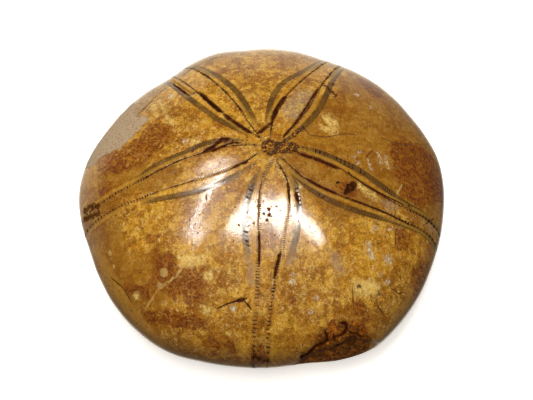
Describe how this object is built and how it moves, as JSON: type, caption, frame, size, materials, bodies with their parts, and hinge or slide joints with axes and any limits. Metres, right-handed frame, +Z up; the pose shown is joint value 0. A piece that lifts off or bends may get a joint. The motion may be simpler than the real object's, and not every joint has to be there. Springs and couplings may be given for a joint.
{
  "type": "fossil sea urchin",
  "caption": "Polished fossil sea urchin: a low domed stone body with five petals of pore rows, a cracked and flaked margin and a hollow underside on a flat ring.",
  "frame": {"origin": "middle of the bounding box at the resting plane, under the dome", "axes": "+Z up from the resting plane to the apex, -Y towards the front petal, +X to the right when the front petal points at the viewer"},
  "size_m": [0.0956, 0.0948, 0.0309],
  "materials": {
    "polished_fossil": "polished honey-brown calcite, mottled, with dark brown pore rows and cracks"
  },
  "bodies": {
    "root": {"fossil_sea_urchin": "polished_fossil"}
  },
  "joints": []
}
